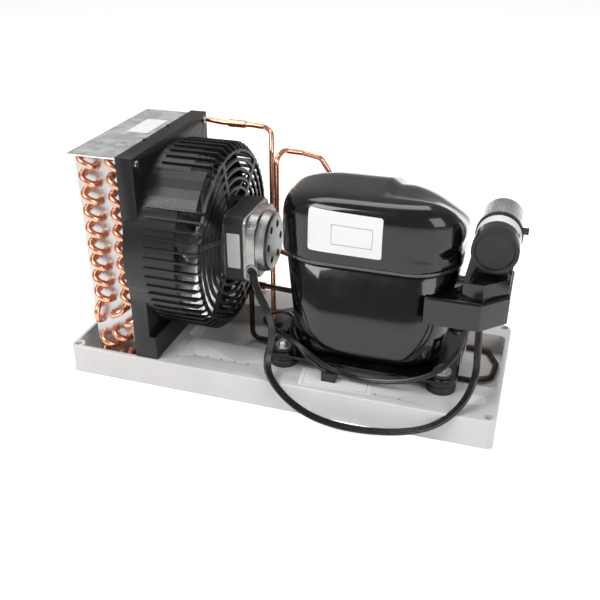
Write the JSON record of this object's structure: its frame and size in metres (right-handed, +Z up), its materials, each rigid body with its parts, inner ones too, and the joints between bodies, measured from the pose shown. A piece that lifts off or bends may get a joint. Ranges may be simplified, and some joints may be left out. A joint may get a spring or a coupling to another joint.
{
  "type": "refrigeration condensing unit",
  "caption": "Small refrigeration condensing unit: finned condenser with shrouded fan, hermetic compressor and start capacitor on a moulded base tray.",
  "frame": {"origin": "centre of the base tray's underside", "axes": "+X along the base from the condenser to the compressor, +Y to the back, +Z up"},
  "size_m": [0.504, 0.2281, 0.2765],
  "materials": {
    "tray_plastic": "satin moulded plastic",
    "fin_aluminium": "thin aluminium fins",
    "galvanised": "galvanised sheet",
    "copper": "bare copper",
    "black_moulding": "black moulded plastic",
    "zinc_screw": "zinc plated",
    "blade_aluminium": "plain aluminium sheet",
    "steel": "bright steel",
    "lamination": "black lacquered laminations",
    "winding": "enamelled copper wire",
    "cast_aluminium": "die cast aluminium",
    "bronze": "sintered bronze",
    "black_paint": "gloss black paint",
    "rubber": "black rubber",
    "cast_iron": "machined casting",
    "terminal_body": "dark moulded plastic",
    "can_aluminium": "drawn aluminium can",
    "cable_tie": "black nylon",
    "dark_pipe": "dark painted steel tube",
    "plug_red": "red plug",
    "lead_jacket": "flexible cable jacket"
  },
  "bodies": {
    "unit": {"base_tray": "tray_plastic", "condenser_core": "fin_aluminium", "condenser_end_plate_front": "galvanised", "condenser_end_plate_rear": "galvanised", "condenser_top_plate": "galvanised", "return_bends_front": "copper", "return_bends_rear": "copper", "fan_shroud": "black_moulding", "shroud_screws": "zinc_screw", "fan_guard": "black_moulding", "motor_stator": "lamination", "motor_coils": "winding", "motor_rear_bell": "cast_aluminium", "motor_front_bell": "cast_aluminium", "motor_bearings": "bronze", "compressor_lower_shell": "black_paint", "compressor_dome": "black_paint", "compressor_weld": "black_paint", "mounting_bracket_left": "black_paint", "mounting_bracket_right": "black_paint", "rubber_feet": "rubber", "foot_sleeves": "steel", "foot_studs": "steel", "foot_washers": "zinc_screw", "foot_nuts": "zinc_screw", "compressor_springs": "steel", "compressor_stator": "lamination", "compressor_rotor": "steel", "compressor_crankshaft": "steel", "compressor_block": "cast_iron", "compressor_head": "cast_iron", "compressor_piston": "steel", "connecting_rod": "cast_aluminium", "terminal_cover": "black_moulding", "terminal_base": "terminal_body", "start_relay": "terminal_body", "hermetic_terminal": "steel", "capacitor_can": "can_aluminium", "capacitor_cap": "terminal_body", "capacitor_tie": "cable_tie", "capacitor_bracket": "terminal_body", "condenser_inlet_pipe": "copper", "inlet_sleeve": "copper", "liquid_outlet_pipe": "copper", "outlet_plug": "plug_red", "suction_pipe": "copper", "discharge_pipe": "dark_pipe", "fan_lead": "lead_jacket", "supply_lead": "lead_jacket", "supply_connector": "terminal_body"},
    "fan": {"fan_blades": "blade_aluminium", "fan_bush": "steel", "fan_shaft": "steel", "motor_rotor": "steel"}
  },
  "joints": [
    {"name": "fan_spin", "type": "hinge", "parent": "unit", "child": "fan", "pos_m": [-0.11, -0.0055, 0.159], "axis": [1, 0, 0], "continuous": true}
  ]
}
